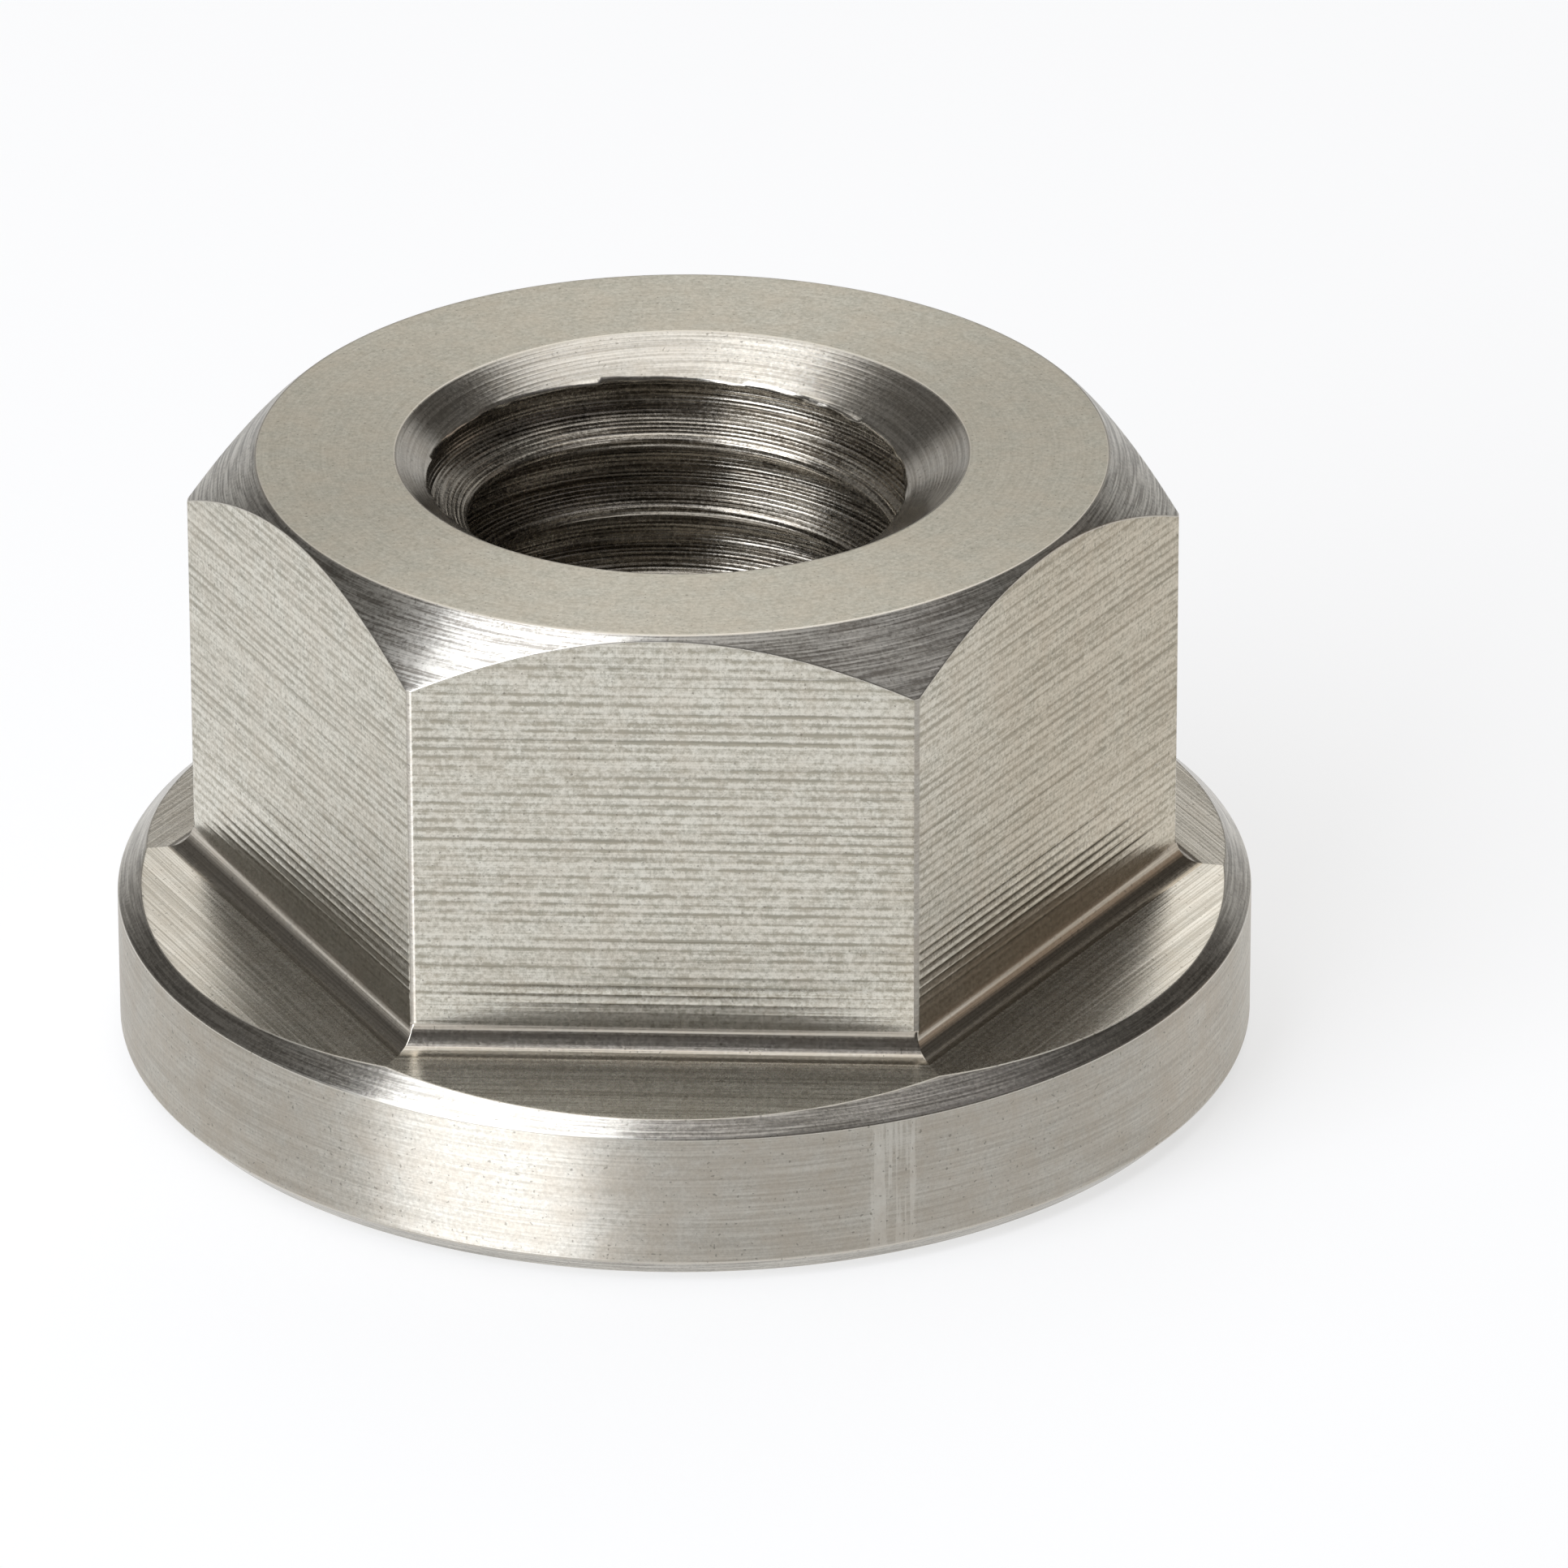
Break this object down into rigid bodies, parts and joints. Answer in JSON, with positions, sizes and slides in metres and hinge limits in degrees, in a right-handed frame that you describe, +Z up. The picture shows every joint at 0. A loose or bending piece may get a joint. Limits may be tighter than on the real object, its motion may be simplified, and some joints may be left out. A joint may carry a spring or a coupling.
{
  "type": "hex flange nut",
  "caption": "Hexagon nut with a wide round collar, turned and milled from one piece of stainless bar, with a countersunk threaded hole right through.",
  "frame": {"origin": "centre of the thread's axis on the seat, the collar's flat underside", "axes": "+Z up along the thread's axis from the seat to the top face; two flats of the hexagon face -Y and +Y, and two corners lie on the X axis"},
  "size_m": [0.0226, 0.0226, 0.0125],
  "materials": {
    "stainless_steel": "turned and milled stainless steel, satin, with fine tool marks"
  },
  "bodies": {
    "root": {"flange_nut": "stainless_steel"}
  },
  "joints": []
}
